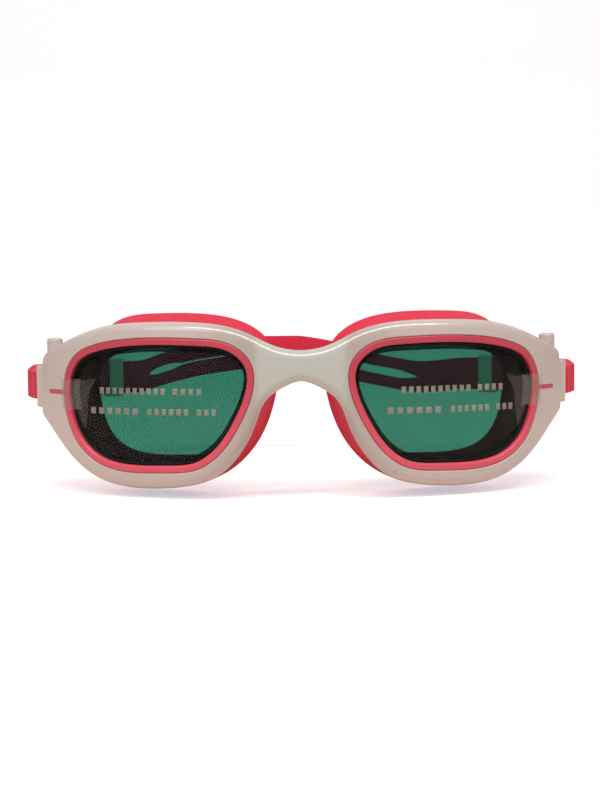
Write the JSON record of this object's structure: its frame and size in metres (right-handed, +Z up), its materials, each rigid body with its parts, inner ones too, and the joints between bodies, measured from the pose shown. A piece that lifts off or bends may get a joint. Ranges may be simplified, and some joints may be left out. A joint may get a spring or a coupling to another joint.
{
  "type": "swimming goggles",
  "caption": "Wide-view swimming goggles with a one-piece wrapped frame, tinted lenses in coloured rings, soft flared eye cups, swivelling strap buckles and a split head strap.",
  "frame": {"origin": "centre of the box round the whole goggles, on the symmetry plane", "axes": "+X to the wearer's left, +Y from the front of the goggles back to the head, +Z up"},
  "size_m": [0.1862, 0.1238, 0.0561],
  "materials": {
    "frame_shell": "pearl white, softly glossy",
    "buckle_shell": "pearl white, satin",
    "lever_shell": "pearl white, satin",
    "keeper_plastic": "white, satin",
    "ring_plastic": "raspberry pink, semi-gloss",
    "cup_silicone": "raspberry pink silicone, soft sheen",
    "strap_silicone": "raspberry pink silicone, matt",
    "tinted_lens": "green tint, polished",
    "clear_film": "clear thin film",
    "pin_steel": "drawn wire"
  },
  "bodies": {
    "goggles": {"frame": "frame_shell", "left_lens": "tinted_lens", "right_lens": "tinted_lens", "left_lens_ring": "ring_plastic", "right_lens_ring": "ring_plastic", "left_gasket": "cup_silicone", "right_gasket": "cup_silicone", "left_swivel_pin": "pin_steel", "right_swivel_pin": "pin_steel", "head_strap": "strap_silicone"},
    "left_buckle_body": {"left_buckle": "buckle_shell", "left_lever_pin": "pin_steel", "left_strap_end": "strap_silicone"},
    "right_buckle_body": {"right_buckle": "buckle_shell", "right_lever_pin": "pin_steel", "right_strap_end": "strap_silicone"},
    "left_lever_body": {"left_cam_lever": "lever_shell"},
    "right_lever_body": {"right_cam_lever": "lever_shell"},
    "left_film_body": {"left_protective_film": "clear_film"},
    "right_film_body": {"right_protective_film": "clear_film"},
    "left_keeper_body": {"left_strap_keeper": "keeper_plastic"},
    "right_keeper_body": {"right_strap_keeper": "keeper_plastic"}
  },
  "joints": [
    {"name": "left_buckle_swivel", "type": "hinge", "parent": "goggles", "child": "left_buckle_body", "pos_m": [0.0789, -0.03125, 0.0046], "axis": [0, 0, 1], "range_deg": [-5, 20]},
    {"name": "right_buckle_swivel", "type": "hinge", "parent": "goggles", "child": "right_buckle_body", "pos_m": [-0.0789, -0.03125, 0.0046], "axis": [0, 0, -1], "range_deg": [-5, 20]},
    {"name": "left_lever_flip", "type": "hinge", "parent": "left_buckle_body", "child": "left_lever_body", "pos_m": [0.08297, -0.02459, 0.0046], "axis": [0, 0, 1], "range_deg": [0, 45]},
    {"name": "right_lever_flip", "type": "hinge", "parent": "right_buckle_body", "child": "right_lever_body", "pos_m": [-0.08297, -0.02459, 0.0046], "axis": [0, 0, -1], "range_deg": [0, 45]},
    {"name": "left_film_lift", "type": "slide", "parent": "goggles", "child": "left_film_body", "axis": [0.3007, -0.9537, 0], "range_m": [0, 0.025]},
    {"name": "right_film_lift", "type": "slide", "parent": "goggles", "child": "right_film_body", "axis": [-0.3007, -0.9537, 0], "range_m": [0, 0.025]},
    {"name": "left_keeper_slide", "type": "slide", "parent": "goggles", "child": "left_keeper_body", "axis": [-0.7826, 0.6221, -0.0228], "range_m": [-0.003, 0.003]},
    {"name": "right_keeper_slide", "type": "slide", "parent": "goggles", "child": "right_keeper_body", "axis": [0.7826, 0.6221, -0.0228], "range_m": [-0.003, 0.003]}
  ]
}
